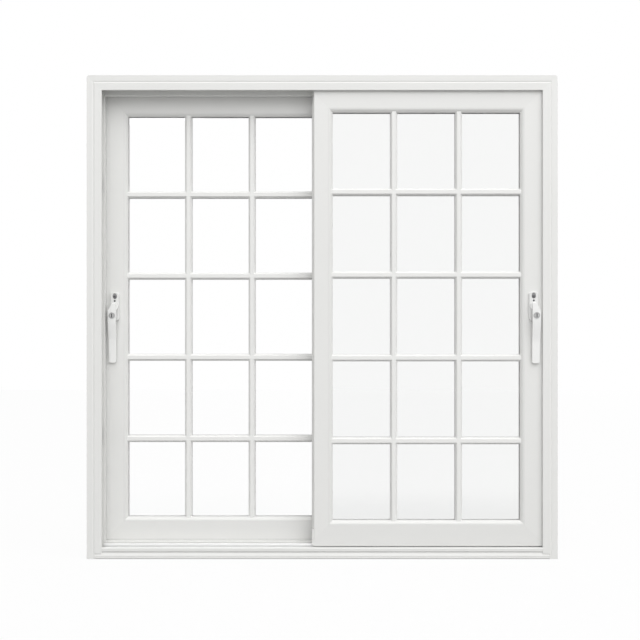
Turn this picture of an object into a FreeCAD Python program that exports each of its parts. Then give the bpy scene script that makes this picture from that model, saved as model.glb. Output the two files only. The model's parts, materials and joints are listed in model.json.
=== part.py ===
import FreeCAD, Part
import os
import re

import Sketcher
from FreeCAD import Placement, Rotation, Vector

# A two-panel sliding patio door in a white moulded frame. X runs across the door, Y from the room side
# (negative) to the weather side, and Z up. The origin is the middle of the sill's underside.
SIZES = {
    # Outer frame: overall size, face with its outer band and groove, and the sash channels behind the lips
    "frame_width": 2044,
    "frame_height": 2100,
    "frame_face": 65,
    "flange_width": 24,
    "flange_step": 1,
    "groove_width": 10,
    "groove_depth": 2.5,
    "corner_round": 10,
    "lip_thickness": 10,
    "channel_depth": 27,
    "frame_round": 2,
    "guide_drop": 8,
    "guide_lap": 6,
    "guide_wall": 2,
    "fixing_radius": 5,
    "fixing_inset": 150,
    # Sill: base that runs under the jambs, foot strip, sloping nosing, front lip, channel floor and divider
    "sill_base": 24,
    "foot_set": 3,
    "foot_rise": 4.5,
    "strip_height": 9,
    "strip_line": 2,
    "nosing_foot": 13,
    "nosing_set": 5,
    "nosing_top": 27,
    "lip_foot": 33,
    "lip_shoulder": 46,
    "lip_slope": 4,
    "lip_top": 50,
    "sill_floor": 36,
    "divider_top": 63.5,
    # Track rails that stand on the sill's channel floors
    "track_width": 8,
    "track_foot": 22,
    "track_foot_thickness": 2,
    "track_top": 60,
    "track_round": 3,
    "track_end_gap": 1,
    # Sliding panels: their place in the frame and the clearances that let them run
    "panel_bottom": 52,
    "head_entry": 15,
    "jamb_entry": 14,
    "meeting_lap": 36,
    "panel_gap": 40,
    "run_clearance": 5,
    # Sash members, glazing beads and the sealed glass unit
    "sash_thickness": 46,
    "top_width": 107,
    "bottom_width": 112,
    "lock_width": 108,
    "meeting_width": 81,
    "sash_round": 3,
    "bead_width": 20,
    "bead_flat": 8,
    "bead_fall": 10,
    "bead_round": 16,
    "bead_depth": 16,
    "back_slope": 13,
    "back_nose": 1.5,
    "glass_pane": 4,
    "glass_cavity": 10,
    "glass_cover": 15,
    "spacer_width": 12,
    # Glazing bars on both faces of the glass
    "bar_width": 31,
    "bar_flat": 15,
    "bar_height": 10,
    # Interlock fins on the meeting stiles, and the caps at their feet
    "fin_thickness": 2.5,
    "fin_depth": 26,
    "fin_reach": 8,
    "fin_end_gap": 7,
    "closer_flange": 12,
    "pile_width": 6,
    "pile_gap": 0.5,
    "cap_height": 75,
    "cap_round": 15,
    "cap_set": 2,
    # Rollers and their carriages in the bottom rail
    "track_slot": 18,
    "track_slot_depth": 14,
    "roller_pocket": 26,
    "roller_pocket_depth": 44,
    "carriage_length": 90,
    "carriage_inset": 130,
    "carriage_wall": 3,
    "carriage_skirt": 12,
    "wheel_radius": 15,
    "wheel_width": 12,
    "wheel_rim": 1.5,
    "wheel_groove": 2.5,
    "wheel_lift": 0.3,
    "axle_radius": 3,
    "axle_clearance": 0.2,
    # Handle: base plate, swept lever, spindle and lock barrel
    "pivot_height": 1098,
    "pivot_inset": 52,
    "plate_width": 42,
    "plate_height": 126,
    "plate_thickness": 10,
    "plate_round": 14,
    "plate_edge": 3,
    "screw_rise": 46,
    "screw_width": 18,
    "screw_height": 26,
    "screw_round": 8,
    "screw_depth": 3,
    "hub_radius": 17,
    "hub_gap": 0.3,
    "spindle_radius": 5,
    "spindle_clearance": 1,
    "spindle_depth": 12,
    "lever_width": 36,
    "lever_tip_width": 32,
    "lever_offset": 9,
    "lever_length": 248,
    "lever_head": 17,
    "lever_corner": 7,
    "lever_standoff": 16,
    "lever_thickness": 15,
    "lever_knee": 70,
    "lever_ankle": 150,
    "lever_sweep": 180,
    "lever_gap": 7,
    "lever_ankle_thickness": 9,
    "lever_tip_thickness": 6,
    "lever_edge": 4,
    "barrel_radius": 13.5,
    "barrel_drop": 40,
    "barrel_seat": 6,
    "barrel_proud": 3,
    "barrel_clearance": 0.8,
    "key_width": 3,
    "key_length": 13,
    "key_depth": 4,
    # Rubber buffers that stop an opened panel in the far jamb's channel
    "front_buffer": 15,
    "rear_buffer": 25,
    "buffer_width": 30,
    "buffer_height": 60,
    "buffer_low": 500,
    "buffer_high": 1600,
    # Overshoot of a cutting outline past the piece that it cuts
    "overcut": 5,
}

# Sizes that follow from the driving ones
DERIVED = {
    "frame_depth": "2 * lip_thickness + 2 * run_clearance + 2 * sash_thickness + panel_gap",
    "web": "frame_face - channel_depth",
    "band_start": "flange_width + groove_width",
    "lip_edge": "frame_width / 2 - frame_face",
    "channel_floor": "frame_width / 2 - web",
    "front_face": "lip_thickness + run_clearance",
    "rear_face": "front_face + sash_thickness + panel_gap",
    "rib_front": "front_face + sash_thickness + run_clearance",
    "rib_back": "rear_face - run_clearance",
    "rear_lip": "frame_depth - lip_thickness",
    "head_edge": "frame_height - frame_face",
    "guide_bottom": "head_edge - guide_drop",
    "fixing_span": "frame_height - 2 * fixing_inset",
    "sill_length": "frame_width - 2 * band_start",
    "track_length": "2 * (lip_edge - track_end_gap)",
    "lock_edge": "lip_edge + jamb_entry",
    "panel_top": "head_edge + head_entry",
    "panel_width": "lock_edge + meeting_lap",
    "panel_height": "panel_top - panel_bottom",
    "glass_unit": "2 * glass_pane + glass_cavity",
    "glass_seat": "bead_depth + glass_unit",
    "sight_width": "panel_width - lock_width - meeting_width",
    "sight_height": "panel_height - top_width - bottom_width",
    "bar_bevel": "(bar_width - bar_flat) / 2",
    "bead_run": "(bead_width - bead_flat) / bead_fall",
    "back_run": "back_slope / (sash_thickness - glass_seat - back_nose)",
    "wheel_height": "track_top + wheel_lift + wheel_radius - wheel_groove",
    "carriage_top": "panel_bottom + roller_pocket_depth",
    "pivot_edge": "lock_edge - pivot_inset",
    "hub_foot": "plate_thickness + hub_gap",
    "lever_front": "lever_standoff + lever_thickness",
    "barrel_floor": "lever_front - barrel_seat",
    "closer_reach": "panel_gap - run_clearance",
    "slot_front": "(sash_thickness - track_slot) / 2",
    "slot_back": "(sash_thickness + track_slot) / 2",
}

PANE_COLUMN_COUNT = 3
PANE_ROW_COUNT = 5
FIXING_COUNT = 4

RIGHT, BACK, UP = Vector(1, 0, 0), Vector(0, 1, 0), Vector(0, 0, 1)
SAME_PLACE = 1e-6

doc = FreeCAD.newDocument("patio_door")
sheet = doc.addObject("Spreadsheet::Sheet", "Sizes")
for row, (alias, size) in enumerate(SIZES.items(), start=1):
    sheet.set(f"A{row}", alias)
    sheet.set(f"B{row}", str(size))
    sheet.setAlias(f"B{row}", alias)
doc.recompute()

nodes = []


def bind(formula):
    """Write a formula of size names as an expression on the sheet's cells."""
    def cell(match):
        word = match.group()
        if word in DERIVED:
            return f"({bind(DERIVED[word])})"
        return f"Sizes.{word}"
    return re.sub(r"[a-z][a-z_]*", cell, str(formula))


def value(formula):
    """The number, in millimetres, that a formula of size names gives now."""
    return float(sheet.evalExpression(bind(formula)))


def node(piece, label):
    """Label a finished piece and put it on the list of sub-parts."""
    piece.Label = label
    nodes.append(piece)
    return piece


def place(piece, x_axis, y_axis, origin):
    """Stand a piece's own x and y axes along the door's, with its origin bound to the sheet."""
    piece.Placement = Placement(Vector(), Rotation(x_axis, y_axis, x_axis.cross(y_axis), "XYZ"))
    for axis, formula in zip("xyz", origin):
        piece.setExpression(f".Placement.Base.{axis}", bind(formula))


def new_body(name):
    """An empty body that may hold several solids."""
    body = doc.addObject("PartDesign::Body", name)
    body.AllowCompound = True
    return body


def datum(body, role):
    """One of the body's own origin planes or axes."""
    return next(item for item in body.Origin.OriginFeatures if item.Role == role)


def new_sketch(body, plane, lift="0"):
    """An empty sketch on one of the body's planes, lifted along the plane's normal."""
    sketch = body.newObject("Sketcher::SketchObject", body.Name + "_sketch")
    sketch.AttachmentSupport = (datum(body, plane), [""])
    sketch.MapMode = "FlatFace"
    sketch.setExpression(".AttachmentOffset.Base.z", bind(lift))
    return sketch


def draw(sketch, corners):
    """Add a closed outline whose corners are bound to the sheet."""
    first = sketch.GeometryCount
    count = len(corners)
    points = [Vector(value(across), value(along), 0) for across, along in corners]
    for index, point in enumerate(points):
        sketch.addGeometry(Part.LineSegment(point, points[(index + 1) % count]))
    for index in range(count):
        following = first + (index + 1) % count
        sketch.addConstraint(Sketcher.Constraint("Coincident", first + index, 2, following, 1))
    for index, corner in enumerate(corners):
        for kind, formula in zip(("DistanceX", "DistanceY"), corner):
            rule = Sketcher.Constraint(kind, -1, 1, first + index, 1, value(formula))
            sketch.setExpression(f"Constraints[{sketch.addConstraint(rule)}]", bind(formula))


def draw_circle(sketch, across, along, radius):
    """Add a circle with its centre and radius bound to the sheet."""
    centre = Vector(value(across), value(along), 0)
    index = sketch.addGeometry(Part.Circle(centre, Vector(0, 0, 1), value(radius)))
    rules = (("DistanceX", (-1, 1, index, 3), across),
             ("DistanceY", (-1, 1, index, 3), along),
             ("Radius", (index,), radius))
    for kind, target, formula in rules:
        rule = Sketcher.Constraint(kind, *target, value(formula))
        sketch.setExpression(f"Constraints[{sketch.addConstraint(rule)}]", bind(formula))


def pad(body, sketch, length, side="One side", reverse=False):
    """Raise a sketch into a solid."""
    feature = body.newObject("PartDesign::Pad", body.Name + "_pad")
    feature.Profile = sketch
    feature.setExpression("Length", bind(length))
    feature.SideType = side
    feature.Reversed = reverse
    return feature


def cut(body, sketch, depth=None, reverse=False):
    """Cut a sketch through the whole body both ways, or to a depth on one side."""
    feature = body.newObject("PartDesign::Pocket", body.Name + "_pocket")
    feature.Profile = sketch
    if depth is None:
        feature.Type = "ThroughAll"
        feature.SideType = "Symmetric"
    else:
        feature.setExpression("Length", bind(depth))
        feature.Reversed = reverse
    return feature


def dress_edges(body, kind, setting, size, chosen):
    """Add a fillet or chamfer on those edges of the body as it stands for which chosen(edge) is true."""
    doc.recompute()
    base = body.Tip
    names = [f"Edge{index}" for index, edge in enumerate(base.Shape.Edges, start=1) if chosen(edge)]
    feature = body.newObject(f"PartDesign::{kind}", f"{body.Name}_{kind.lower()}")
    feature.Base = (base, names)
    feature.setExpression(setting, bind(size))


def round_edges(body, radius, chosen):
    dress_edges(body, "Fillet", "Radius", radius, chosen)


def chamfer_edges(body, size, chosen):
    dress_edges(body, "Chamfer", "Size", size, chosen)


def runs_at(axis, corners):
    """A test for straight edges along one of the body's axes, at any of the given places across it."""
    across = [name for name in "xyz" if name != axis]
    spots = [[value(formula) for formula in corner] for corner in corners]

    def stands_on(end, spot):
        return all(abs(getattr(end, name) - at) < SAME_PLACE for name, at in zip(across, spot))

    def chosen(edge):
        ends = [vertex.Point for vertex in edge.Vertexes]
        return len(ends) == 2 and any(all(stands_on(end, spot) for end in ends) for spot in spots)
    return chosen


def mitre(body, own, adjacent, length, at_start):
    """Cut one end of a member at 45 degrees through the corner where two sight lines meet."""
    slope = f"{adjacent} - {own}"
    away = f"{own} + {adjacent} + overcut"
    near = [("-overcut", f"{slope} - overcut"), (f"{own} + overcut", f"{adjacent} + overcut")]
    beyond = [(f"{own} + overcut", f"-({away})"), ("-overcut", f"-({away})")]
    corners = near + beyond
    if not at_start:
        corners = [(across, f"{length} - ({along})") for across, along in corners]
    sketch = new_sketch(body, "XZ_Plane")
    draw(sketch, corners)
    cut(body, sketch)


def member(name, section, rounded, radius, length):
    """A straight length of one moulded section, along its own z axis."""
    body = new_body(name)
    sketch = new_sketch(body, "XY_Plane")
    draw(sketch, section)
    pad(body, sketch, length)
    if rounded:
        round_edges(body, radius, runs_at("z", rounded))
    return body


def frame_member(name, length, rib_set, outer_corners):
    """A length of the frame's grooved section, with two sash channels and a rib drawn in by rib_set."""
    near, far = f"rib_front + {rib_set}", f"rib_back - {rib_set}"
    groove = "flange_width + groove_width / 2"
    section = [
        ("0", "flange_step"), ("flange_width", "flange_step"), (groove, "groove_depth"),
        ("band_start", "0"), ("frame_face", "0"), ("frame_face", "lip_thickness"),
        ("web", "lip_thickness"), ("web", near), ("frame_face", near), ("frame_face", far), ("web", far),
        ("web", "rear_lip"), ("frame_face", "rear_lip"), ("frame_face", "frame_depth"),
        ("band_start", "frame_depth"), (groove, "frame_depth - groove_depth"),
        ("flange_width", "frame_depth - flange_step"), ("0", "frame_depth - flange_step"),
    ]
    lip_corners = [corner for corner in section if corner[0] == "frame_face"]
    body = member(name, section, lip_corners, "frame_round", length)
    round_edges(body, "corner_round", runs_at("y", outer_corners))
    return body


# Head and jambs: mitred together at the top corners, which are rounded on the outside
def head():
    body = frame_member("head", "frame_width", "guide_wall", [("0", "0"), ("0", "frame_width")])
    mitre(body, "frame_face", "frame_face", "frame_width", at_start=True)
    mitre(body, "frame_face", "frame_face", "frame_width", at_start=False)
    place(body, -UP, BACK, ("-frame_width / 2", "-frame_depth / 2", "frame_height"))
    node(body, "head")


def jamb(name, inward):
    """A jamb that stands on the sill's base, with screw holes in the channel that no panel fills."""
    body = frame_member(name, "frame_height", "0", [("0", "frame_height")])
    mitre(body, "frame_face", "frame_face", "frame_height", at_start=False)
    notch = new_sketch(body, "XZ_Plane")
    inner, foot = "frame_face + overcut", "-overcut"
    draw(notch, [("band_start", foot), (inner, foot), (inner, "sill_base"), ("band_start", "sill_base")])
    cut(body, notch)
    holes = new_sketch(body, "YZ_Plane")
    for index in range(FIXING_COUNT):
        rise = f"fixing_inset + {index} * fixing_span / {FIXING_COUNT - 1}"
        draw_circle(holes, "(lip_thickness + rib_front) / 2", rise, "fixing_radius")
    cut(body, holes)
    place(body, inward * RIGHT, inward * BACK,
          (f"{-inward} * frame_width / 2", f"{-inward} * frame_depth / 2", "0"))
    node(body, name)


def head_guide():
    """A strip clipped over the head's middle rib that keeps the panels' tops apart."""
    top, near, far = "head_edge + guide_lap", "rib_front + guide_wall", "rib_back - guide_wall"
    section = [("rib_front", top), ("rib_front", "guide_bottom"), ("rib_back", "guide_bottom"),
               ("rib_back", top), (far, top), (far, "head_edge"), (near, "head_edge"), (near, top)]
    body = member("head_guide", section, [section[1], section[2]], "frame_round", "2 * lip_edge")
    place(body, BACK, UP, ("-lip_edge", "-frame_depth / 2", "0"))
    node(body, "head_guide")


def sill():
    """The threshold: a stepped nosing, two open channels and the divider between them."""
    section = [
        ("foot_set", "0"), ("0", "foot_rise"), ("0", "strip_height"),
        ("strip_line", "(strip_height + nosing_foot) / 2"), ("0", "nosing_foot"),
        ("nosing_set", "nosing_top"), ("nosing_set", "lip_foot"), ("0", "lip_foot"),
        ("0", "lip_shoulder"), ("lip_slope", "lip_top"), ("lip_thickness", "lip_top"),
        ("lip_thickness", "sill_floor"), ("rib_front", "sill_floor"), ("rib_front", "divider_top"),
        ("rib_back", "divider_top"), ("rib_back", "sill_floor"), ("rear_lip", "sill_floor"),
        ("rear_lip", "lip_top"), ("frame_depth", "lip_top"), ("frame_depth", "0"),
    ]
    rounded = [corner for corner in section if corner[1] in ("divider_top", "lip_foot", "nosing_foot")]
    body = member("sill", section, rounded, "frame_round", "sill_length")
    ends = new_sketch(body, "YZ_Plane")
    over = "divider_top + overcut"
    shelf = "sill_length / 2 - lip_edge"
    draw(ends, [("sill_base", "-overcut"), (over, "-overcut"), (over, shelf), ("sill_base", shelf)])
    far, end = f"sill_length - ({shelf})", "sill_length + overcut"
    draw(ends, [("sill_base", far), (over, far), (over, end), ("sill_base", end)])
    cut(body, ends)
    place(body, BACK, UP, ("-sill_length / 2", "-frame_depth / 2", "0"))
    node(body, "sill")


def track(name, face):
    """A drawn rail with a rounded crown and a foot screwed to the sill's channel floor."""
    crown, foot = "track_width / 2", "track_foot / 2"
    shelf = "sill_floor + track_foot_thickness"
    section = [(f"-{foot}", "sill_floor"), (foot, "sill_floor"), (foot, shelf), (crown, shelf),
               (crown, "track_top"), (f"-{crown}", "track_top"), (f"-{crown}", shelf), (f"-{foot}", shelf)]
    body = member(name, section, [section[4], section[5]], "track_round", "track_length")
    place(body, BACK, UP,
          ("-track_length / 2", f"{face} + sash_thickness / 2 - frame_depth / 2", "0"))
    node(body, name)


def buffers(name, outward, depth, length):
    """Two rubber stops on a channel floor, in the way of the opened panel's edge."""
    blocks = []
    for level in ("buffer_low", "buffer_high"):
        body = new_body(f"{name}_block")
        sketch = new_sketch(body, "XY_Plane")
        half = "buffer_width / 2"
        draw(sketch, [(f"-{half}", "0"), (half, "0"), (half, "buffer_height"), (f"-{half}", "buffer_height")])
        pad(body, sketch, length)
        round_edges(body, "frame_round", runs_at(
            "z", [(f"{sign} * {half}", rise) for sign in (-1, 1) for rise in ("0", "buffer_height")]))
        place(body, outward * BACK, UP,
              (f"{outward} * (channel_floor - {length})", f"{depth} - frame_depth / 2", level))
        blocks.append(body)
    group = doc.addObject("Part::Compound", name)
    group.Links = blocks
    node(group, name)


def sash_section(own):
    """A sash member: flat face, rebate for bead and glass, and a sloped upstand on the weather side."""
    flat = f"{own} - bead_width"
    return [("0", "0"), (flat, "0"), (flat, "glass_seat"), (own, "glass_seat"),
            (own, "glass_seat + back_nose"), (f"{own} - back_slope", "sash_thickness"),
            ("0", "sash_thickness")]


def bead_section(own):
    """A glazing bead that falls away from the sash's face towards the glass; its second corner is rounded."""
    flat = f"{own} - bead_width"
    return [(flat, "0"), (f"{flat} + bead_flat", "0"), (own, "bead_fall"),
            (own, "bead_depth"), (flat, "bead_depth")]


def track_slot_section():
    """The bottom rail's section, with the slot that the track rail runs in."""
    slot = [("0", "slot_back"), ("track_slot_depth", "slot_back"),
            ("track_slot_depth", "slot_front"), ("0", "slot_front")]
    return sash_section("bottom_width") + slot


def panel_members(side, face):
    """Where each sash member starts: axes, origin, own width, length and the widths it meets."""
    at_face = f"{face} - frame_depth / 2"
    lock, meet = (f"{side} * lock_edge", f"{-side} * meeting_lap")
    right, left = (lock, meet)[::side]
    right_width, left_width = ("lock_width", "meeting_width")[::side]
    lock_level, meet_level = ("panel_top", "panel_bottom")[::side]
    lock_first, meet_first = ("top_width", "bottom_width")[::side]
    return {
        "bottom_rail": (UP, (right, at_face, "panel_bottom"), "bottom_width", "panel_width",
                        right_width, left_width),
        "top_rail": (-UP, (left, at_face, "panel_top"), "top_width", "panel_width",
                     left_width, right_width),
        "lock_stile": (-side * RIGHT, (lock, at_face, lock_level), "lock_width", "panel_height",
                       lock_first, meet_first),
        "meeting_stile": (side * RIGHT, (meet, at_face, meet_level), "meeting_width", "panel_height",
                          meet_first, lock_first),
    }


def sash(panel, side, face):
    """The four mitred members of one sliding panel, and the beads that hold its glass."""
    beads = {"upright": [], "level": []}
    for part, (inward, origin, own, length, first, last) in panel_members(side, face).items():
        name = f"{panel}_{part}"
        section = track_slot_section() if part == "bottom_rail" else sash_section(own)
        rounded = [("0", "0"), ("0", "sash_thickness")]
        body = member(name, section, rounded, "sash_round", length)
        mitre(body, own, first, length, at_start=True)
        mitre(body, own, last, length, at_start=False)
        if part == "bottom_rail":
            roller_pockets(body)
        if part == "lock_stile":
            lock_stile_cuts(body, side)
        place(body, inward, BACK, origin)
        node(body, name)

        moulding = bead_section(own)
        bead = member(f"{name}_bead", moulding, [moulding[1]], "bead_round", length)
        mitre(bead, own, first, length, at_start=True)
        mitre(bead, own, last, length, at_start=False)
        place(bead, inward, BACK, origin)
        beads["upright" if part.endswith("stile") else "level"].append(bead)
    for lie, pair in beads.items():
        group = doc.addObject("Part::Compound", f"{panel}_{lie}_beads")
        group.Links = pair
        node(group, f"{panel}_{lie}_beads")


def roller_pockets(body):
    """Two deep pockets over the track slot, one near each end of the bottom rail."""
    low, high = "(sash_thickness - roller_pocket) / 2", "(sash_thickness + roller_pocket) / 2"
    sketch = new_sketch(body, "YZ_Plane")
    for start in ("carriage_inset", "panel_width - carriage_inset - carriage_length"):
        end = f"{start} + carriage_length"
        draw(sketch, [(low, start), (high, start), (high, end), (low, end)])
    cut(body, sketch, "roller_pocket_depth", reverse=True)


def lock_stile_cuts(body, side):
    """The track slot under the lock stile, and the hole that its handle's spindle turns in."""
    low, high = "slot_front", "slot_back"
    ends = ("-overcut", "track_slot_depth")
    rise = "pivot_height - panel_bottom"
    if side > 0:
        ends = tuple(f"panel_height - ({end})" for end in ends)
        rise = "panel_top - pivot_height"
    slot = new_sketch(body, "YZ_Plane")
    draw(slot, [(low, ends[0]), (high, ends[0]), (high, ends[1]), (low, ends[1])])
    cut(body, slot)
    hole = new_sketch(body, "XZ_Plane")
    draw_circle(hole, "pivot_inset", rise, "spindle_radius + spindle_clearance")
    cut(body, hole, "spindle_depth + spindle_clearance")


def sight_corner(side, face):
    """The lower left corner of a panel's visible glass, at the depth of the sash's face."""
    left = "meeting_width - meeting_lap" if side > 0 else "-(meeting_width - meeting_lap) - sight_width"
    return (left, f"{face} - frame_depth / 2", "panel_bottom + bottom_width")


def glass(panel, side, face):
    """A sealed unit: two panes and the spacer frame between their edges."""
    left, front, bottom = sight_corner(side, face)
    corner = (f"{left} - glass_cover", front, f"{bottom} - glass_cover")
    wide, high = "sight_width + 2 * glass_cover", "sight_height + 2 * glass_cover"
    panes = []
    for depth in ("bead_depth", "bead_depth + glass_pane + glass_cavity"):
        pane = doc.addObject("Part::Box", f"{panel}_pane")
        pane.setExpression("Length", bind(wide))
        pane.setExpression("Width", bind("glass_pane"))
        pane.setExpression("Height", bind(high))
        place(pane, RIGHT, BACK, (corner[0], f"{front} + {depth}", corner[2]))
        panes.append(pane)
    group = doc.addObject("Part::Compound", f"{panel}_glass")
    group.Links = panes
    node(group, f"{panel}_glass")

    body = new_body(f"{panel}_spacer")
    sketch = new_sketch(body, "XZ_Plane")
    draw(sketch, [("0", "0"), (wide, "0"), (wide, high), ("0", high)])
    inner_wide, inner_high = f"{wide} - spacer_width", f"{high} - spacer_width"
    draw(sketch, [("spacer_width", "spacer_width"), (inner_wide, "spacer_width"),
                  (inner_wide, inner_high), ("spacer_width", inner_high)])
    pad(body, sketch, "glass_cavity", reverse=True)
    place(body, RIGHT, BACK, (corner[0], f"{front} + bead_depth + glass_pane", corner[2]))
    node(body, f"{panel}_spacer")


def bar_faces():
    """For the bars on each face of the glass: depths of the glass and of the slope's foot, way out, run."""
    room = ("bead_depth", "bead_fall", -1, "bead_run")
    weather = ("glass_seat", "glass_seat + back_nose", 1, "back_run")
    return {"room": room, "weather": weather}


def bar_places(span, panes):
    """Where each glazing bar starts along a span that the bars cut into equal panes."""
    pane = f"({span} - {panes - 1} * bar_width) / {panes}"
    return [f"{index} * {pane} + {index - 1} * bar_width" for index in range(1, panes)]


def bar_outline(start, glass_face, top):
    """A bevelled bar's section: where it starts along the glass, and its two depths."""
    return [(start, glass_face), (f"{start} + bar_bevel", top),
            (f"{start} + bar_width - bar_bevel", top), (f"{start} + bar_width", glass_face)]


def end_wedge(at, sign, glass_face, foot, out, run):
    """What is cut from a bar's end so that it lies on the slope beside it, by sight line and direction."""
    behind = f"{glass_face} - {out} * overcut"
    beyond = f"{glass_face} + {out} * (bar_height + overcut)"
    slope_end = f"{at} + {sign} * {run} * {out} * ({beyond} - ({foot}))"
    outer = f"{slope_end} + {sign} * 2 * overcut"
    return [(at, behind), (at, foot), (slope_end, beyond), (outer, beyond), (outer, behind)]


def bars(panel, side, face):
    """Upright bars that run the glass's height, and cross bars scribed between them, on both faces."""
    pieces = {"upright": [], "cross": []}
    for where, (glass_face, foot, out, run) in bar_faces().items():
        top = f"{glass_face} + {out} * bar_height"
        spare = f"({run} * {out} * ({top} - ({foot})) + overcut)"
        uprights = new_body(f"{panel}_{where}_upright")
        sketch = new_sketch(uprights, "XY_Plane", f"-{spare}")
        for start in bar_places("sight_width", PANE_COLUMN_COUNT):
            draw(sketch, bar_outline(start, glass_face, top))
        pad(uprights, sketch, f"sight_height + 2 * {spare}")
        ends = new_sketch(uprights, "YZ_Plane")
        for at, sign in (("0", -1), ("sight_height", 1)):
            wedge = end_wedge(at, sign, glass_face, foot, out, run)
            draw(ends, [(depth, along) for along, depth in wedge])
        cut(uprights, ends)

        crosses = new_body(f"{panel}_{where}_cross")
        sketch = new_sketch(crosses, "YZ_Plane", f"-{spare}")
        for start in bar_places("sight_height", PANE_ROW_COUNT):
            draw(sketch, [(depth, along) for along, depth in bar_outline(start, glass_face, top)])
        pad(crosses, sketch, f"sight_width + 2 * {spare}")
        gaps = new_sketch(crosses, "XY_Plane")
        for at, sign in (("0", -1), ("sight_width", 1)):
            draw(gaps, end_wedge(at, sign, glass_face, foot, out, run))
        for start in bar_places("sight_width", PANE_COLUMN_COUNT):
            draw(gaps, bar_outline(start, glass_face, top))
        cut(crosses, gaps)

        for lie, body in (("upright", uprights), ("cross", crosses)):
            place(body, RIGHT, BACK, sight_corner(side, face))
            pieces[lie].append(body)
    for lie, pair in pieces.items():
        group = doc.addObject("Part::Compound", f"{panel}_{lie}_bars")
        group.Links = pair
        node(group, f"{panel}_{lie}_bars")


def front_interlock():
    """An L-shaped fin along the edge of the front meeting stile, within the sash's thickness."""
    start, back = "sash_thickness - fin_depth", "sash_thickness"
    section = [("0", start), ("fin_thickness", start), ("fin_thickness", f"{back} - fin_thickness"),
               ("fin_reach", f"{back} - fin_thickness"), ("fin_reach", back), ("0", back)]
    body = member("front_interlock", section, None, None, "panel_height - cap_height")
    place(body, -RIGHT, BACK, ("-meeting_lap", "front_face - frame_depth / 2", "panel_top"))
    node(body, "front_interlock")


def rear_interlock():
    """A fin on the rear meeting stile that closes the gap between the panels, with a pile strip."""
    tip = "-closer_reach"
    section = [("fin_thickness", tip), ("fin_thickness", "fin_depth"), ("0", "fin_depth"),
               ("0", f"{tip} + fin_thickness"), ("-closer_flange", f"{tip} + fin_thickness"),
               ("-closer_flange", tip)]
    low, high = "divider_top + fin_end_gap", "guide_bottom - fin_end_gap"
    corner = ("meeting_lap", "rear_face - frame_depth / 2", low)
    body = member("rear_interlock", section, None, None, f"{high} - ({low})")
    place(body, RIGHT, BACK, corner)
    node(body, "rear_interlock")

    middle = "-closer_flange / 2"
    near, far = f"{middle} - pile_width / 2", f"{middle} + pile_width / 2"
    brush = [(near, tip), (near, "pile_gap - panel_gap"), (far, "pile_gap - panel_gap"), (far, tip)]
    pile = member("rear_weather_pile", brush, None, None, f"{high} - ({low})")
    place(pile, RIGHT, BACK, corner)
    node(pile, "rear_weather_pile")


def interlock_cap(panel, side, face, start):
    """A moulded cap at the foot of the meeting stile's edge, slotted over the track, with round corners."""
    body = new_body(f"{panel}_cap")
    sketch = new_sketch(body, "XZ_Plane", f"-({start})")
    inner = "fin_reach - cap_round - overcut"
    draw(sketch, [(inner, "0"), ("fin_reach", "0"), ("fin_reach", "cap_height"), (inner, "cap_height")])
    pad(body, sketch, f"sash_thickness - {start}", reverse=True)
    for level, radius in (("0", "cap_round"), ("cap_height", "frame_round")):
        round_edges(body, radius, runs_at("y", [("fin_reach", level)]))
    stile = new_sketch(body, "XZ_Plane")
    past, low, high = f"{inner} - overcut", "-overcut", "cap_height + overcut"
    draw(stile, [(past, low), ("0", low), ("0", high), (past, high)])
    cut(body, stile)
    slot = new_sketch(body, "YZ_Plane")
    draw(slot, [("slot_front", "-overcut"), ("slot_back", "-overcut"),
                ("slot_back", "track_slot_depth"), ("slot_front", "track_slot_depth")])
    cut(body, slot)
    place(body, RIGHT, BACK, (f"{-side} * meeting_lap", f"{face} - frame_depth / 2", "panel_bottom"))
    if side > 0:
        mirrored = doc.addObject("Part::Mirroring", f"{panel}_cap_mirrored")
        mirrored.Source = body
        mirrored.Normal = RIGHT
        mirrored.setExpression(".Base.x", bind("-meeting_lap"))
        body = mirrored
    node(body, f"{panel}_interlock_cap")


def rollers(panel, side, face):
    """Two carriages in the bottom rail, each with a grooved wheel that rides on the track."""
    right = "lock_edge" if side > 0 else "meeting_lap"
    middle = f"{face} + sash_thickness / 2 - frame_depth / 2"
    carriages, wheels = [], []
    for start in ("carriage_inset", "panel_width - carriage_inset - carriage_length"):
        left = f"{right} - ({start}) - carriage_length"
        carriage = new_body(f"{panel}_carriage")
        outer, inner = "roller_pocket / 2", "roller_pocket / 2 - carriage_wall"
        foot, shelf = "track_top + carriage_skirt - carriage_wall", "carriage_top - carriage_wall"
        sketch = new_sketch(carriage, "YZ_Plane")
        draw(sketch, [(f"-({outer})", foot), (f"-({outer})", "carriage_top"), (outer, "carriage_top"),
                      (outer, foot), (inner, foot), (inner, shelf), (f"-({inner})", shelf),
                      (f"-({inner})", foot)])
        pad(carriage, sketch, "carriage_length")
        axle = new_sketch(carriage, "XZ_Plane")
        draw_circle(axle, "carriage_length / 2", "wheel_height", "axle_radius")
        pad(carriage, axle, f"2 * ({outer})", side="Symmetric")
        place(carriage, RIGHT, BACK, (left, middle, "0"))
        carriages.append(carriage)
        wheels.append(wheel(panel, (f"{left} + carriage_length / 2", middle, "wheel_height")))
    for name, pieces in ((f"{panel}_roller_carriages", carriages), (f"{panel}_rollers", wheels)):
        group = doc.addObject("Part::Compound", name)
        group.Links = pieces
        node(group, name)


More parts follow.
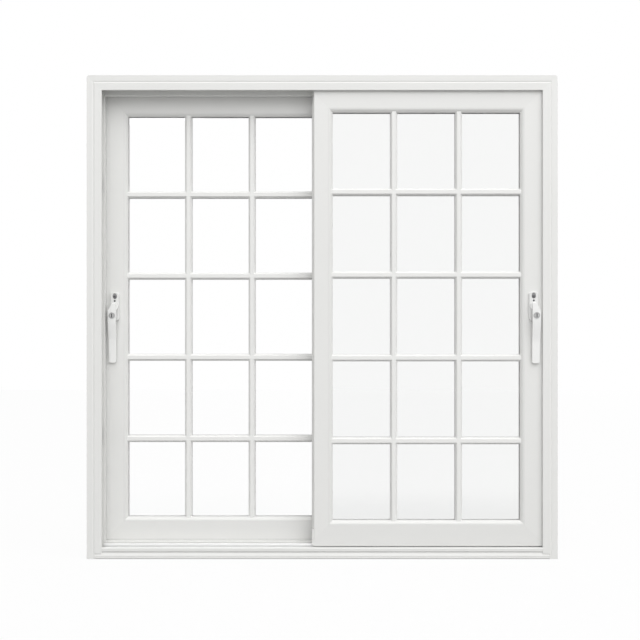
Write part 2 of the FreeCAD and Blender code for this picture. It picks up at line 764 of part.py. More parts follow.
def wheel(panel, centre):
    """A grooved wheel, turned about its axle."""
    body = new_body(f"{panel}_wheel")
    bore, rim, groove = "axle_radius + axle_clearance", "wheel_radius", "wheel_radius - wheel_groove"
    edge, lip = "wheel_width / 2", "wheel_width / 2 - wheel_rim"
    sketch = new_sketch(body, "XY_Plane")
    draw(sketch, [(bore, f"-{edge}"), (rim, f"-{edge}"), (groove, f"-({lip})"),
                  (groove, lip), (rim, edge), (bore, edge)])
    turn = body.newObject("PartDesign::Revolution", body.Name + "_turn")
    turn.Profile = sketch
    turn.ReferenceAxis = (datum(body, "Y_Axis"), [""])
    turn.Angle = 360
    place(body, RIGHT, BACK, centre)
    return body


def handle(panel, side, face):
    """A lever handle on the lock stile: base plate, swept lever with its spindle, and lock barrel."""
    outward = side * RIGHT
    rising = side
    pivot = (f"{side} * pivot_edge", f"{face} - frame_depth / 2", "pivot_height")
    for name, build in (("handle_plate", handle_plate), ("lever", lever), ("lock_barrel", lock_barrel)):
        body = new_body(f"{panel}_{name}")
        build(body, rising)
        place(body, outward, rising * UP, pivot)
        node(body, f"{panel}_{name}")


def handle_plate(body, rising):
    """A rounded plate with a sunk oval for its screw above the lever and a clearance hole for the spindle."""
    wide, high = "plate_width / 2", "plate_height / 2"
    corners = [(f"-{wide}", f"-{high}"), (wide, f"-{high}"), (wide, high), (f"-{wide}", high)]
    sketch = new_sketch(body, "XY_Plane")
    draw(sketch, corners)
    pad(body, sketch, "plate_thickness")
    round_edges(body, "plate_round", runs_at("z", corners))
    top = value("plate_thickness")
    chamfer_edges(body, "plate_edge", lambda edge: all(abs(v.Z - top) < SAME_PLACE for v in edge.Vertexes))
    screw = new_sketch(body, "XY_Plane", "plate_thickness - screw_depth")
    oval = [(f"{across} * screw_width / 2", f"{rising} * screw_rise + {along} * screw_height / 2")
            for across, along in ((-1, -1), (1, -1), (1, 1), (-1, 1))]
    draw(screw, oval)
    cut(body, screw, "screw_depth", reverse=True)
    round_edges(body, "screw_round", runs_at("z", oval))
    hole = new_sketch(body, "XY_Plane")
    draw_circle(hole, "0", "0", "spindle_radius + spindle_clearance")
    cut(body, hole)


def lever(body, rising):
    """A lever that stands off its plate at the head and sweeps back towards the sash to its tip."""
    head_end, tip = f"{rising} * lever_head", f"{-rising} * lever_length"
    knee, ankle = f"{-rising} * lever_knee", f"{-rising} * lever_ankle"
    bends = [(knee, "lever_front"), (ankle, "lever_gap + lever_ankle_thickness"),
             (ankle, "lever_gap"), (knee, "lever_standoff")]
    blade = [(tip, "lever_gap + lever_tip_thickness"), (tip, "lever_gap")]
    root = [(head_end, "lever_standoff"), (head_end, "lever_front - lever_edge"),
            (f"{head_end} - {rising} * lever_edge", "lever_front")]
    profile = new_sketch(body, "YZ_Plane")
    draw(profile, root + bends[:2] + blade + bends[2:])
    pad(body, profile, "4 * lever_width", side="Symmetric")
    round_edges(body, "lever_sweep", runs_at("x", bends))

    outer, inner = "lever_offset + lever_width / 2", "lever_offset - lever_width / 2"
    tip_outer, tip_inner = "lever_offset + lever_tip_width / 2", "lever_offset - lever_tip_width / 2"
    shoulder = [(inner, head_end), ("lever_offset / 2", head_end), (outer, f"{-rising} * lever_head")]
    toe = [(tip_outer, tip), (tip_inner, tip)]
    border_wide, border_high = "lever_width * 3", "lever_length + lever_width"
    border = [(f"{across} * {border_wide}", f"{along} * ({border_high})")
              for across, along in ((-1, -1), (1, -1), (1, 1), (-1, 1))]
    outline = new_sketch(body, "XY_Plane")
    draw(outline, border)
    draw(outline, shoulder + toe)
    cut(body, outline)
    round_edges(body, "lever_corner", runs_at("z", shoulder + toe))

    hub = new_sketch(body, "XY_Plane", "hub_foot")
    draw_circle(hub, "0", "0", "hub_radius")
    pad(body, hub, "lever_standoff + lever_edge - hub_foot")
    spindle = new_sketch(body, "XY_Plane", "hub_foot")
    draw_circle(spindle, "0", "0", "spindle_radius")
    pad(body, spindle, "hub_foot + spindle_depth", reverse=True)
    seat = new_sketch(body, "XY_Plane", "barrel_floor")
    draw_circle(seat, "lever_offset", f"{-rising} * barrel_drop", "barrel_radius + barrel_clearance")
    cut(body, seat, "barrel_seat + overcut", reverse=True)


def lock_barrel(body, rising):
    """A round key barrel sunk in the lever, with an upright key slot."""
    across, along = "lever_offset", f"{-rising} * barrel_drop"
    sketch = new_sketch(body, "XY_Plane", "barrel_floor")
    draw_circle(sketch, across, along, "barrel_radius")
    pad(body, sketch, "barrel_seat + barrel_proud")
    slot = new_sketch(body, "XY_Plane", "barrel_floor + barrel_seat + barrel_proud - key_depth")
    half_wide, half_long = "key_width / 2", "key_length / 2"
    draw(slot, [(f"{across} - {half_wide}", f"{along} - {half_long}"),
                (f"{across} + {half_wide}", f"{along} - {half_long}"),
                (f"{across} + {half_wide}", f"{along} + {half_long}"),
                (f"{across} - {half_wide}", f"{along} + {half_long}")])
    cut(body, slot, "key_depth", reverse=True)


head()
jamb("left_jamb", 1)
jamb("right_jamb", -1)
sill()
head_guide()
track("front_track", "front_face")
track("rear_track", "rear_face")
buffers("left_buffers", -1, "front_face + sash_thickness / 2", "front_buffer")
buffers("right_buffers", 1, "rear_face + sash_thickness / 2", "rear_buffer")
for panel, side, face in (("front", 1, "front_face"), ("rear", -1, "rear_face")):
    sash(panel, side, face)
    glass(panel, side, face)
    bars(panel, side, face)
    interlock_cap(panel, side, face, "cap_set" if side > 0 else "fin_depth")
    rollers(panel, side, face)
    handle(panel, side, face)
front_interlock()
rear_interlock()
doc.recompute()

for item in doc.Objects:
    if "Invalid" in item.State or "Error" in item.State:
        raise RuntimeError(f"{item.Label} failed: {item.State}")
for piece in nodes:
    if piece.Shape.isNull() or not piece.Shape.isValid() or not piece.Shape.Solids:
        raise RuntimeError(f"{piece.Label} has no valid solid")

os.makedirs("parts", exist_ok=True)
for piece in nodes:
    piece.Shape.exportStep(f"parts/{piece.Label}.step")
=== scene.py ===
import json
import math

import bmesh
import bpy
from mathutils import Matrix, Vector


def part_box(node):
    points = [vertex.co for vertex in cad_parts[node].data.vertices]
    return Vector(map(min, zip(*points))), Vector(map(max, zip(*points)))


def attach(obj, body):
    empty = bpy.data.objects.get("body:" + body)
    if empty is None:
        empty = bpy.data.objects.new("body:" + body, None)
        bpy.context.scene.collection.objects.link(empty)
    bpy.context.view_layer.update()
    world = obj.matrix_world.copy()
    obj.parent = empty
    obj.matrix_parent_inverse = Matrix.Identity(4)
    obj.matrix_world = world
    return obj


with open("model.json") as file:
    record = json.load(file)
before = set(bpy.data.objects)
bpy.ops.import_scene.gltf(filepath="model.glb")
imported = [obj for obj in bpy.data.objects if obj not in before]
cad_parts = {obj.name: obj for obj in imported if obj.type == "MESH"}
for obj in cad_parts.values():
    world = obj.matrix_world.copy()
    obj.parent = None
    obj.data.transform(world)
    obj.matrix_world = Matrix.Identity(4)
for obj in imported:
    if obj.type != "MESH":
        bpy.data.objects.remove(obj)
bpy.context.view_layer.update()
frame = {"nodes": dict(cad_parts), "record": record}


# Outer frame: head, jambs and sill are lengths of white vinyl, drawn through a die, welded at the mitred
# top corners and screwed to the wall through the sides. Drawing leaves faint lines along each length,
# a slight peel in the gloss, and a tone that wanders a little over the two metres.
def add_node(tree, kind, **settings):
    """A new node, with its properties and its inputs set by name."""
    made = tree.nodes.new(kind)
    for name, setting in settings.items():
        socket = made.inputs.get(name.replace("_", " "))
        if socket is not None:
            socket.default_value = setting
        else:
            setattr(made, name, setting)
    return made


def join(tree, *links):
    """Link pairs of an output and an input."""
    for start, end in links:
        tree.links.new(start, end)


tone_scale, peel_scale = 1.7, 420.0
line_share, relief_depth = 0.6, 0.0002


def drawn_skin_group():
    """Tone, gloss and height of a drawn or moulded white skin, from plain and stretched coordinates."""
    tree = bpy.data.node_groups.new("drawn_skin", "ShaderNodeTree")
    sockets = (("Place", "INPUT", "NodeSocketVector"), ("Drawn Place", "INPUT", "NodeSocketVector"),
               ("Clean", "INPUT", "NodeSocketColor"), ("Dulled", "INPUT", "NodeSocketColor"),
               ("Least Gloss", "INPUT", "NodeSocketFloat"), ("Most Gloss", "INPUT", "NodeSocketFloat"),
               ("Color", "OUTPUT", "NodeSocketColor"), ("Roughness", "OUTPUT", "NodeSocketFloat"),
               ("Height", "OUTPUT", "NodeSocketFloat"))
    for name, direction, kind in sockets:
        tree.interface.new_socket(name, in_out=direction, socket_type=kind)
    inlet = tree.nodes.new("NodeGroupInput")
    outlet = tree.nodes.new("NodeGroupOutput")
    broad = add_node(tree, "ShaderNodeTexNoise", Scale=tone_scale, Detail=3.0, Roughness=0.55)
    lines = add_node(tree, "ShaderNodeTexNoise", Scale=1.0, Detail=2.0, Roughness=0.5)
    peel = add_node(tree, "ShaderNodeTexNoise", Scale=peel_scale, Detail=2.0, Roughness=0.5)
    tone = add_node(tree, "ShaderNodeMix", data_type="RGBA")
    gloss = add_node(tree, "ShaderNodeMapRange")
    relief = add_node(tree, "ShaderNodeMath", operation="MULTIPLY_ADD")
    relief.inputs[1].default_value = line_share
    join(tree,
         (inlet.outputs["Place"], broad.inputs["Vector"]),
         (inlet.outputs["Place"], peel.inputs["Vector"]),
         (inlet.outputs["Drawn Place"], lines.inputs["Vector"]),
         (broad.outputs["Fac"], tone.inputs["Factor"]),
         (inlet.outputs["Clean"], tone.inputs["A"]),
         (inlet.outputs["Dulled"], tone.inputs["B"]),
         (tone.outputs["Result"], outlet.inputs["Color"]),
         (lines.outputs["Fac"], gloss.inputs["Value"]),
         (inlet.outputs["Least Gloss"], gloss.inputs["To Min"]),
         (inlet.outputs["Most Gloss"], gloss.inputs["To Max"]),
         (gloss.outputs["Result"], outlet.inputs["Roughness"]),
         (lines.outputs["Fac"], relief.inputs[0]),
         (peel.outputs["Fac"], relief.inputs[2]),
         (relief.outputs["Value"], outlet.inputs["Height"]))
    return tree


drawn_skin = drawn_skin_group()


def skin_material(name, clean, dulled, stretch, gloss, relief, **shader_settings):
    """A material on the drawn skin: stretch squeezes the lines across, gloss is its range of roughness."""
    material = bpy.data.materials.new(name)
    material.use_nodes = True
    tree = material.node_tree
    shader = tree.nodes["Principled BSDF"]
    for socket, setting in shader_settings.items():
        shader.inputs[socket.replace("_", " ")].default_value = setting
    place = tree.nodes.new("ShaderNodeTexCoord")
    squeeze = add_node(tree, "ShaderNodeMapping", Scale=stretch)
    skin = add_node(tree, "ShaderNodeGroup", node_tree=drawn_skin)
    for socket, setting in (("Clean", clean), ("Dulled", dulled),
                            ("Least Gloss", gloss[0]), ("Most Gloss", gloss[1])):
        skin.inputs[socket].default_value = setting
    bump = add_node(tree, "ShaderNodeBump", Strength=relief, Distance=relief_depth)
    join(tree,
         (place.outputs["Object"], skin.inputs["Place"]),
         (place.outputs["Object"], squeeze.inputs["Vector"]),
         (squeeze.outputs["Vector"], skin.inputs["Drawn Place"]),
         (skin.outputs["Color"], shader.inputs["Base Color"]),
         (skin.outputs["Roughness"], shader.inputs["Roughness"]),
         (skin.outputs["Height"], bump.inputs["Height"]),
         (bump.outputs["Normal"], shader.inputs["Normal"]))
    return material


def dress(material, *nodes):
    """Give CAD nodes a finished material."""
    for name in nodes:
        mesh = frame["nodes"][name].data
        mesh.materials.clear()
        mesh.materials.append(material)


along_x, along_z = (1.5, 260, 260), (260, 260, 1.5)
vinyl_gloss, vinyl_relief = (0.27, 0.45), 0.40
# The level lengths are painted a little darker than the upright ones, as painted shade; both are the same
# vinyl.
level_vinyl = skin_material("level_vinyl", (0.785, 0.785, 0.77, 1), (0.75, 0.75, 0.733, 1), along_x,
                            vinyl_gloss, vinyl_relief)
upright_vinyl = skin_material("upright_vinyl", (0.80, 0.80, 0.785, 1), (0.765, 0.765, 0.748, 1), along_z,
                              vinyl_gloss, vinyl_relief)
dress(level_vinyl, "head", "sill", "head_guide")
dress(upright_vinyl, "left_jamb", "right_jamb")

# Tracks: drawn aluminium rails, left bare, that clip to the sill's channel floors and have crowns for
# the wheels. The buffers at the jambs are moulded blocks of grey rubber.
mill_aluminium = skin_material("mill_aluminium", (0.86, 0.86, 0.86, 1), (0.80, 0.80, 0.805, 1), along_x,
                               (0.44, 0.58), 0.20, Metallic=1.0)
dress(mill_aluminium, "front_track", "rear_track")
rubber = skin_material("buffer_rubber", (0.19, 0.19, 0.19, 1), (0.15, 0.15, 0.15, 1), (60, 60, 60),
                       (0.6, 0.8), 0.3)
dress(rubber, "left_buffers", "right_buffers")

# Sashes: mitred and welded lengths of the same vinyl. The interlock fins where the panels meet are powder
# coated aluminium, with moulded caps at their feet, and the spacer inside the sealed unit is bare. The
# wheels and their pressed carriages are zinc-plated steel.
powder_coat = skin_material("powder_coat", (0.80, 0.80, 0.785, 1), (0.775, 0.775, 0.76, 1), (700, 700, 700),
                            (0.36, 0.50), 0.50)
plated_metal = skin_material("plated_metal", (0.72, 0.72, 0.73, 1), (0.58, 0.58, 0.59, 1), along_x,
                             (0.22, 0.40), 0.10, Metallic=1.0)
for panel in ("front", "rear"):
    dress(level_vinyl, f"{panel}_top_rail", f"{panel}_bottom_rail")
    dress(upright_vinyl, f"{panel}_lock_stile", f"{panel}_meeting_stile", f"{panel}_interlock_cap")
    dress(powder_coat, f"{panel}_interlock")
    dress(mill_aluminium, f"{panel}_spacer")
    dress(plated_metal, f"{panel}_roller_carriages", f"{panel}_rollers")

# Beads and bars: thin vinyl sections, cut to length and clipped in. The beads are painted a little greyer
# than the frame, as painted shade on their sloped faces; the bars, stuck to both faces of the glass, are
# painted a little whiter, as painted light on their bevels.
bead_white, bead_shade = (0.765, 0.765, 0.75, 1), (0.73, 0.73, 0.713, 1)
bar_white, bar_shade = (0.83, 0.83, 0.815, 1), (0.80, 0.80, 0.783, 1)
for run, along, beads, bars in (("level", along_x, "level_beads", "cross_bars"),
                                ("upright", along_z, "upright_beads", "upright_bars")):
    bead_vinyl = skin_material(f"{run}_bead_vinyl", bead_white, bead_shade, along, vinyl_gloss, vinyl_relief)
    bar_vinyl = skin_material(f"{run}_bar_vinyl", bar_white, bar_shade, along, vinyl_gloss, vinyl_relief)
    dress(bead_vinyl, f"front_{beads}", f"rear_{beads}")
    dress(bar_vinyl, f"front_{bars}", f"rear_{bars}")

# Weather pile: a brush of fine grey fibres on a woven back, slid into a groove of the rear meeting stile.
# The fibres stand out across the strip, so their lines run along Y, and their tips look soft.
pile_fibre = skin_material("pile_fibre", (0.33, 0.33, 0.33, 1), (0.20, 0.20, 0.20, 1), (1400, 40, 1400),
                           (0.8, 0.95), 0.8, Sheen_Weight=0.4)
dress(pile_fibre, "rear_weather_pile")


# Sealed glass units: two panes of clear float glass each, the front unit a touch greyer. Each pane is
# painted a little darker towards its foot, a painted reflection of the floor. Shadow rays go straight
# through, so the glass casts no shade.
# Where and how strongly the painted reflection of the floor darkens the foot of each pane.
reflection_foot, reflection_top = 0.18, 0.32
reflection_most, reflection_wander, wander_scale = 0.85, 0.15, 2.5
glass_bending = 1.45


def glass_material(name, clear, reflected_tint):
    """Clear glass with a painted reflection of the floor: its tint runs from the reflected colour at its foot
    to clear higher up, with a slow wander.
    """
    material = bpy.data.materials.new(name)
    material.use_nodes = True
    tree = material.node_tree
    shader = tree.nodes["Principled BSDF"]
    shader.inputs["Transmission Weight"].default_value = 1.0
    shader.inputs["Roughness"].default_value = 0.0
    shader.inputs["IOR"].default_value = glass_bending
    place = tree.nodes.new("ShaderNodeTexCoord")
    height = tree.nodes.new("ShaderNodeSeparateXYZ")
    rise = add_node(tree, "ShaderNodeMapRange", interpolation_type="SMOOTHSTEP", From_Min=reflection_foot,
                    From_Max=reflection_top, To_Min=reflection_most, To_Max=0.0)
    wander = add_node(tree, "ShaderNodeTexNoise", Scale=wander_scale, Detail=4.0)
    floor_reflection = add_node(tree, "ShaderNodeMath", operation="MULTIPLY_ADD", use_clamp=True)
    floor_reflection.inputs[1].default_value = reflection_wander
    tint = add_node(tree, "ShaderNodeMix", data_type="RGBA")
    tint.inputs["A"].default_value = clear
    tint.inputs["B"].default_value = reflected_tint
    straight = tree.nodes.new("ShaderNodeBsdfTransparent")
    path = tree.nodes.new("ShaderNodeLightPath")
    either = tree.nodes.new("ShaderNodeMixShader")
    join(tree,
         (place.outputs["Object"], height.inputs["Vector"]),
         (place.outputs["Object"], wander.inputs["Vector"]),
         (height.outputs["Z"], rise.inputs["Value"]),
         (wander.outputs["Fac"], floor_reflection.inputs[0]),
         (rise.outputs["Result"], floor_reflection.inputs[2]),
         (floor_reflection.outputs["Value"], tint.inputs["Factor"]),
         (tint.outputs["Result"], shader.inputs["Base Color"]),
         (path.outputs["Is Shadow Ray"], either.inputs["Fac"]),
         (shader.outputs["BSDF"], either.inputs[1]),
         (straight.outputs["BSDF"], either.inputs[2]),
         (either.outputs["Shader"], tree.nodes["Material Output"].inputs["Surface"]))
    return material


dress(glass_material("front_glass", (0.965, 0.967, 0.965, 1), (0.925, 0.928, 0.925, 1)), "front_glass")
dress(glass_material("rear_glass", (1.0, 1.0, 1.0, 1), (0.992, 0.994, 0.993, 1)), "rear_glass")


# Gaskets: strips of grey rubber, pressed in between each pane and the foot of the bead or upstand that
# holds it, round the whole opening on both faces of the unit. They show as a thin line by the glass.
gasket_width, gasket_height, gasket_round, gasket_gap = 0.0015, 0.0030, 0.0006, 0.0002
glass_cover = 0.015
gasket_rubber = skin_material("gasket_rubber", (0.82, 0.82, 0.81, 1), (0.76, 0.76, 0.75, 1), (90, 90, 90),
                              (0.50, 0.66), 0.2)


def add_piece(name, shape, material, body):
    """Make an object of a finished shape, in its place in the frame, that moves with a body."""
    bmesh.ops.recalc_face_normals(shape, faces=shape.faces)
    mesh = bpy.data.meshes.new(name)
    shape.to_mesh(mesh)
    shape.free()
    mesh.materials.append(material)
    piece = bpy.data.objects.new(name, mesh)
    bpy.context.scene.collection.objects.link(piece)
    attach(piece, body)


def flat_ring(width, height, breadth):
    """A new shape: a four-sided ring, flat and square to Y, with its middle at the origin."""
    shape = bmesh.new()
    bmesh.ops.create_grid(shape, x_segments=1, y_segments=1, size=0.5,
                          matrix=Matrix.Rotation(math.pi / 2, 4, "X"))
    bmesh.ops.scale(shape, verts=shape.verts, vec=(width, 1, height))
    sheet = shape.faces[:]
    bmesh.ops.inset_individual(shape, faces=sheet, thickness=breadth)
    bmesh.ops.delete(shape, geom=sheet, context="FACES")
    return shape


def thicken(shape, lift, rounding=0):
    """Draw a flat shape out along Y, and round the edges of its new face."""
    raised = bmesh.ops.extrude_face_region(shape, geom=shape.faces[:])["geom"]
    crown = [part for part in raised if isinstance(part, bmesh.types.BMVert)]
    bmesh.ops.translate(shape, verts=crown, vec=(0, lift, 0))
    if rounding:
        brink = [part for part in raised if isinstance(part, bmesh.types.BMEdge)]
        bmesh.ops.bevel(shape, geom=brink, offset=rounding, segments=2, profile=0.5, affect="EDGES",
                        material=-1)


def lay_gasket(panel, name, face, outward):
    """One ring on a face of the glass, its outer edge at the edge of the opening."""
    low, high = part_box(f"{panel}_glass")
    size = high - low
    middle = (low + high) / 2
    shape = flat_ring(size.x - 2 * glass_cover, size.z - 2 * glass_cover, gasket_width)
    bmesh.ops.translate(shape, verts=shape.verts, vec=(middle.x, face + outward * gasket_gap, middle.z))
    thicken(shape, outward * gasket_height, gasket_round)
    add_piece(name, shape, gasket_rubber, f"{panel}_panel")


for panel in ("front", "rear"):
    low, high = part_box(f"{panel}_glass")
    lay_gasket(panel, f"{panel}_room_gasket", low.y, -1)
    lay_gasket(panel, f"{panel}_weather_gasket", high.y, 1)

# Handles: cast zinc levers and plates in white enamel, with a key barrel of brushed nickel let into each
# lever. The enamel is sprayed and baked, so it is glossier than the vinyl and a little whiter.
lever_enamel = skin_material("lever_enamel", (0.88, 0.88, 0.87, 1), (0.85, 0.85, 0.84, 1), (40, 40, 40),
                             (0.16, 0.24), 0.15, Coat_Weight=0.3)
plate_enamel = skin_material("plate_enamel", (0.79, 0.79, 0.78, 1), (0.76, 0.76, 0.75, 1), (40, 40, 40),
                             (0.20, 0.30), 0.15, Coat_Weight=0.2)
nickel = skin_material("barrel_nickel", (0.56, 0.56, 0.56, 1), (0.46, 0.46, 0.46, 1), (300, 40, 300),
                       (0.24, 0.38), 0.15, Metallic=1.0)
for panel in ("front", "rear"):
    dress(lever_enamel, f"{panel}_lever")
    dress(plate_enamel, f"{panel}_handle_plate")
    dress(nickel, f"{panel}_lock_barrel")

# Screws: button heads with a six-sided socket, turned and rolled. A grey one holds each handle plate, in an
# oval grey cup that fills the plate's recess; the cup's grey is painted shade, standing in for the shade in
# the recess. A blackened grub screw under it clamps the spindle.
grey_steel = skin_material("grey_steel", (0.22, 0.22, 0.225, 1), (0.17, 0.17, 0.175, 1), (200, 200, 200),
                           (0.35, 0.5), 0.25, Metallic=0.6)
dark_steel = skin_material("dark_steel", (0.085, 0.085, 0.09, 1), (0.06, 0.06, 0.065, 1), (200, 200, 200),
                           (0.35, 0.5), 0.25, Metallic=0.6)
# The cup's grey is painted shade for the handle plate's recess.
recess_shade_grey = skin_material("recess_shade_grey", (0.31, 0.31, 0.31, 1), (0.27, 0.27, 0.27, 1), (120, 120, 120),
                            (0.45, 0.6), 0.3)


def spun(shape, outline, steps):
    """Turn an outline of (radius, height) points about the Y axis, with its height towards the room."""
    points = [shape.verts.new((radius, -height, 0)) for radius, height in outline]
    runs = [shape.edges.new(pair) for pair in zip(points, points[1:])]
    bmesh.ops.spin(shape, geom=points + runs, cent=(0, 0, 0), axis=(0, 1, 0), angle=2 * math.pi,
                   steps=steps, use_merge=True)
    bmesh.ops.remove_doubles(shape, verts=shape.verts, dist=1e-6)


turned_steps, socket_sides = 24, 6
socket_share, floor_share, rim_share = 0.42, 0.35, 1.2
edge_share, shoulder_share = 0.3, (0.84, 0.8)


def button_screw(name, radius, height, place, material, body):
    """A domed screw head; its round rim is joined to a six-sided socket."""
    socket, floor = socket_share * radius, floor_share * height
    shape = bmesh.new()
    dome = [(0, 0), (radius, 0), (radius, edge_share * height),
            (shoulder_share[0] * radius, shoulder_share[1] * height), (rim_share * socket, height)]
    spun(shape, dome, turned_steps)
    spun(shape, [(0, floor), (socket, floor), (socket, height)], socket_sides)
    rims = [edge for edge in shape.edges if edge.is_boundary]
    bmesh.ops.bridge_loops(shape, edges=rims)
    bmesh.ops.transform(shape, verts=shape.verts, matrix=place)
    add_piece(name, shape, material, body)


recess_size, recess_depth, recess_rise = (0.018, 0.026), 0.003, 0.046
cup_slack, cup_height, cup_round, cup_segments = 0.0004, 0.0012, 0.0005, 32
plate_screw_radius, plate_screw_height, plate_screw_drop = 0.0080, 0.0028, 0.0025
grub_radius, grub_height, grub_rise = 0.0042, 0.0012, 0.025
joints = {joint["name"]: joint for joint in frame["record"]["behaviour"]["joints"]}
for panel in ("front", "rear"):
    pivot_x, _, pivot_z = joints[f"{panel}_lever_turn"]["pos_m"]
    plate_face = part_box(f"{panel}_handle_plate")[0].y
    recess = Vector((pivot_x, plate_face + recess_depth, pivot_z + recess_rise))
    cup = bmesh.new()
    bmesh.ops.create_circle(cup, cap_ends=True, segments=cup_segments, radius=1,
                            matrix=Matrix.Rotation(math.pi / 2, 4, "X"))
    half_width, half_height = recess_size[0] / 2 - cup_slack, recess_size[1] / 2 - cup_slack
    bmesh.ops.scale(cup, verts=cup.verts, vec=(half_width, 1, half_height))
    thicken(cup, -cup_height, cup_round)
    bmesh.ops.translate(cup, verts=cup.verts, vec=recess)
    add_piece(f"{panel}_screw_cup", cup, recess_shade_grey, f"{panel}_panel")
    seat = recess + Vector((0, -cup_height, -plate_screw_drop))
    button_screw(f"{panel}_plate_screw", plate_screw_radius, plate_screw_height, Matrix.Translation(seat),
                 grey_steel, f"{panel}_panel")
    grub = Vector((pivot_x, plate_face, pivot_z + grub_rise))
    button_screw(f"{panel}_grub_screw", grub_radius, grub_height, Matrix.Translation(grub), dark_steel,
                 f"{panel}_panel")

# Keyways: a steel plug turns in each barrel, behind a fine joint, and the key goes into its upright slot.
# A black block set just inside the slot is painted shade, standing in for the shade of the keyway's depth;
# the lip pressed in round it and the ring over the joint are blackened.
keyway_size, keyway_sunk, keyway_depth = (0.0028, 0.0126), 0.0008, 0.003
lip_size, lip_width, lip_proud = (0.0054, 0.0152), 0.0012, 0.0003
joint_radii, joint_proud, joint_steps = (0.0088, 0.0098), 0.0002, 40
# One black material for the keyway: painted shade in the slot, blackened steel on the lip and ring.
keyway_black_and_shade = skin_material("keyway_black_and_shade", (0.03, 0.03, 0.03, 1), (0.02, 0.02, 0.02, 1), (200, 200, 200),
                             (0.5, 0.7), 0.2)
for panel in ("front", "rear"):
    low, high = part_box(f"{panel}_lock_barrel")
    middle = (low + high) / 2
    shape = flat_ring(lip_size[0], lip_size[1], lip_width)
    thicken(shape, -lip_proud)
    # The slot block: painted shade, a little way inside the keyway.
    slot = bmesh.ops.create_cube(shape, size=1)["verts"]
    bmesh.ops.scale(shape, verts=slot, vec=(keyway_size[0], keyway_depth, keyway_size[1]))
    bmesh.ops.translate(shape, verts=slot, vec=(0, keyway_sunk + keyway_depth / 2, 0))
    spun(shape, [(joint_radii[0], 0), (joint_radii[0], joint_proud), (joint_radii[1], joint_proud),
                 (joint_radii[1], 0), (joint_radii[0], 0)], joint_steps)
    bmesh.ops.translate(shape, verts=shape.verts, vec=(middle.x, low.y, middle.z))
    add_piece(f"{panel}_keyway", shape, keyway_black_and_shade, f"{panel}_lever_set")

# Frame screws: long plated screws hold the jambs to the wall. Their heads sit in the channels, on the
# floor of each, over the fixing holes.
frame_screw_radius, frame_screw_height = 0.0085, 0.004
channel_floor = 0.984
turn_inwards = {"left": math.pi / 2, "right": -math.pi / 2}
for side, turn in turn_inwards.items():
    pairs = [mount for mount in frame["record"]["mounts"] if mount["name"].startswith(side) and mount["dims"]]
    for pair in pairs:
        wall_x, depth, middle_z = pair["pos_m"]
        half = pair["dims"]["spacing_y_mm"] / 2000
        for end in (-half, half):
            place = Vector((math.copysign(channel_floor, wall_x), depth, middle_z + end))
            name = f"{side}_frame_screw_{round(1000 * place.z)}"
            button_screw(name, frame_screw_radius, frame_screw_height,
                         Matrix.Translation(place) @ Matrix.Rotation(turn, 4, "Z"), plated_metal, "frame")


# Stage: a pale floor under the door and a white surround, as in a product photograph. Rays that the
# lens sees, directly or in glass and gloss, meet plain white; the door itself is lit by less.
def sees_white(tree):
    """A factor of 1 for rays that carry the background to the lens."""
    path = tree.nodes.new("ShaderNodeLightPath")
    first = add_node(tree, "ShaderNodeMath", operation="MAXIMUM")
    second = add_node(tree, "ShaderNodeMath", operation="MAXIMUM")
    join(tree,
         (path.outputs["Is Camera Ray"], first.inputs[0]),
         (path.outputs["Is Glossy Ray"], first.inputs[1]),
         (first.outputs["Value"], second.inputs[0]),
         (path.outputs["Is Transmission Ray"], second.inputs[1]))
    return second.outputs["Value"]


fill_strength = 0.53
world = bpy.data.worlds.new("studio")
bpy.context.scene.world = world
world.use_nodes = True
tree = world.node_tree
fill = tree.nodes["Background"]
fill.inputs["Color"].default_value = (1, 1, 1, 1)
fill.inputs["Strength"].default_value = fill_strength
white = add_node(tree, "ShaderNodeBackground", Color=(1, 1, 1, 1), Strength=1.0)
either = tree.nodes.new("ShaderNodeMixShader")
join(tree,
     (sees_white(tree), either.inputs["Fac"]),
     (fill.outputs["Background"], either.inputs[1]),
     (white.outputs["Background"], either.inputs[2]),
     (either.outputs["Shader"], tree.nodes["World Output"].inputs["Surface"]))

floor_half = 12.0
floor_grey = (0.45, 0.45, 0.45, 1)
floor_glow, glow_share = 1.063, 0.87
mesh = bpy.data.meshes.new("floor")
shape = bmesh.new()
bmesh.ops.create_grid(shape, x_segments=1, y_segments=1, size=floor_half)
shape.to_mesh(mesh)
shape.free()
floor = bpy.data.objects.new("floor", mesh)
bpy.context.scene.collection.objects.link(floor)
paper = bpy.data.materials.new("floor_paper")
paper.use_nodes = True
tree = paper.node_tree
shader = tree.nodes["Principled BSDF"]
shader.inputs["Base Color"].default_value = floor_grey
shader.inputs["Roughness"].default_value = 1.0
shader.inputs["Specular IOR Level"].default_value = 0.0
glow = add_node(tree, "ShaderNodeEmission", Color=(1, 1, 1, 1), Strength=floor_glow)
either = tree.nodes.new("ShaderNodeMixShader")
share = add_node(tree, "ShaderNodeMath", operation="MULTIPLY")
share.inputs[1].default_value = glow_share
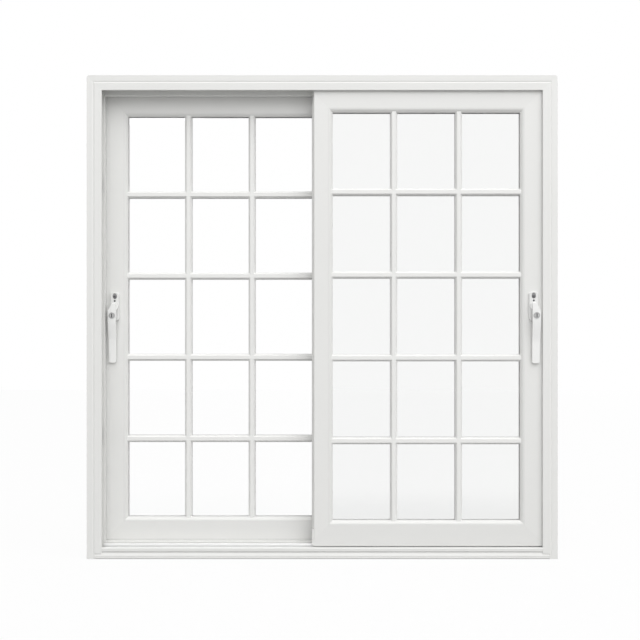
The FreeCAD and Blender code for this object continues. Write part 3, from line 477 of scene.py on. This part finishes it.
join(tree,
     (sees_white(tree), share.inputs[0]),
     (share.outputs["Value"], either.inputs["Fac"]),
     (shader.outputs["BSDF"], either.inputs[1]),
     (glow.outputs["Emission"], either.inputs[2]),
     (either.outputs["Shader"], tree.nodes["Material Output"].inputs["Surface"]))
mesh.materials.append(paper)

# Light: a wide white screen, high in front and a little to the right, over an even fill from the room. It
# stands far off, so that the door is lit almost alike from head to sill. A weaker one lights the back.
door_middle = Vector((0, 0, 1.05))


def light_screen(name, size, energy, turn, rise, distance=22.0):
    """A flat lamp that faces the door, from a direction given in degrees round from the front and up."""
    lamp = bpy.data.lights.new(name, "AREA")
    lamp.shape = "RECTANGLE"
    lamp.size, lamp.size_y = size
    lamp.energy = energy
    screen = bpy.data.objects.new(name, lamp)
    bpy.context.scene.collection.objects.link(screen)
    turn, rise = math.radians(turn), math.radians(rise)
    towards = Vector((math.sin(turn) * math.cos(rise), -math.cos(turn) * math.cos(rise), math.sin(rise)))
    screen.location = door_middle + distance * towards
    screen.rotation_euler = towards.to_track_quat("Z", "Y").to_euler()
    return screen


light_screen("room_screen", (34.0, 26.0), 5350, turn=20, rise=46)
weather_screen = light_screen("weather_screen", (26.0, 16.0), 2400, turn=160, rise=14)
weather_screen.visible_camera = False
weather_screen.visible_glossy = False
weather_screen.visible_transmission = False

# Camera: square to the door, about a metre up and a little over four metres from the head's front face.
# The shift puts the lens's axis where the photograph has it, measured in pixels from its top left.
picture_side = 640
focal_pixels = 989
axis_pixel = (322.2, 329.6)
lens_height = 0.996
lens_distance = 4.29
front_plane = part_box("head")[0].y
camera_data = bpy.data.cameras.new("camera")
camera_data.sensor_width = 36.0
camera_data.lens = focal_pixels / picture_side * camera_data.sensor_width
camera_data.shift_x = (picture_side / 2 - axis_pixel[0]) / picture_side
camera_data.shift_y = (axis_pixel[1] - picture_side / 2) / picture_side
camera = bpy.data.objects.new("camera", camera_data)
bpy.context.scene.collection.objects.link(camera)
camera.location = (0, front_plane - lens_distance, lens_height)
camera.rotation_euler = (math.pi / 2, 0, 0)
bpy.context.scene.camera = camera
bpy.context.scene.view_settings.view_transform = "Standard"
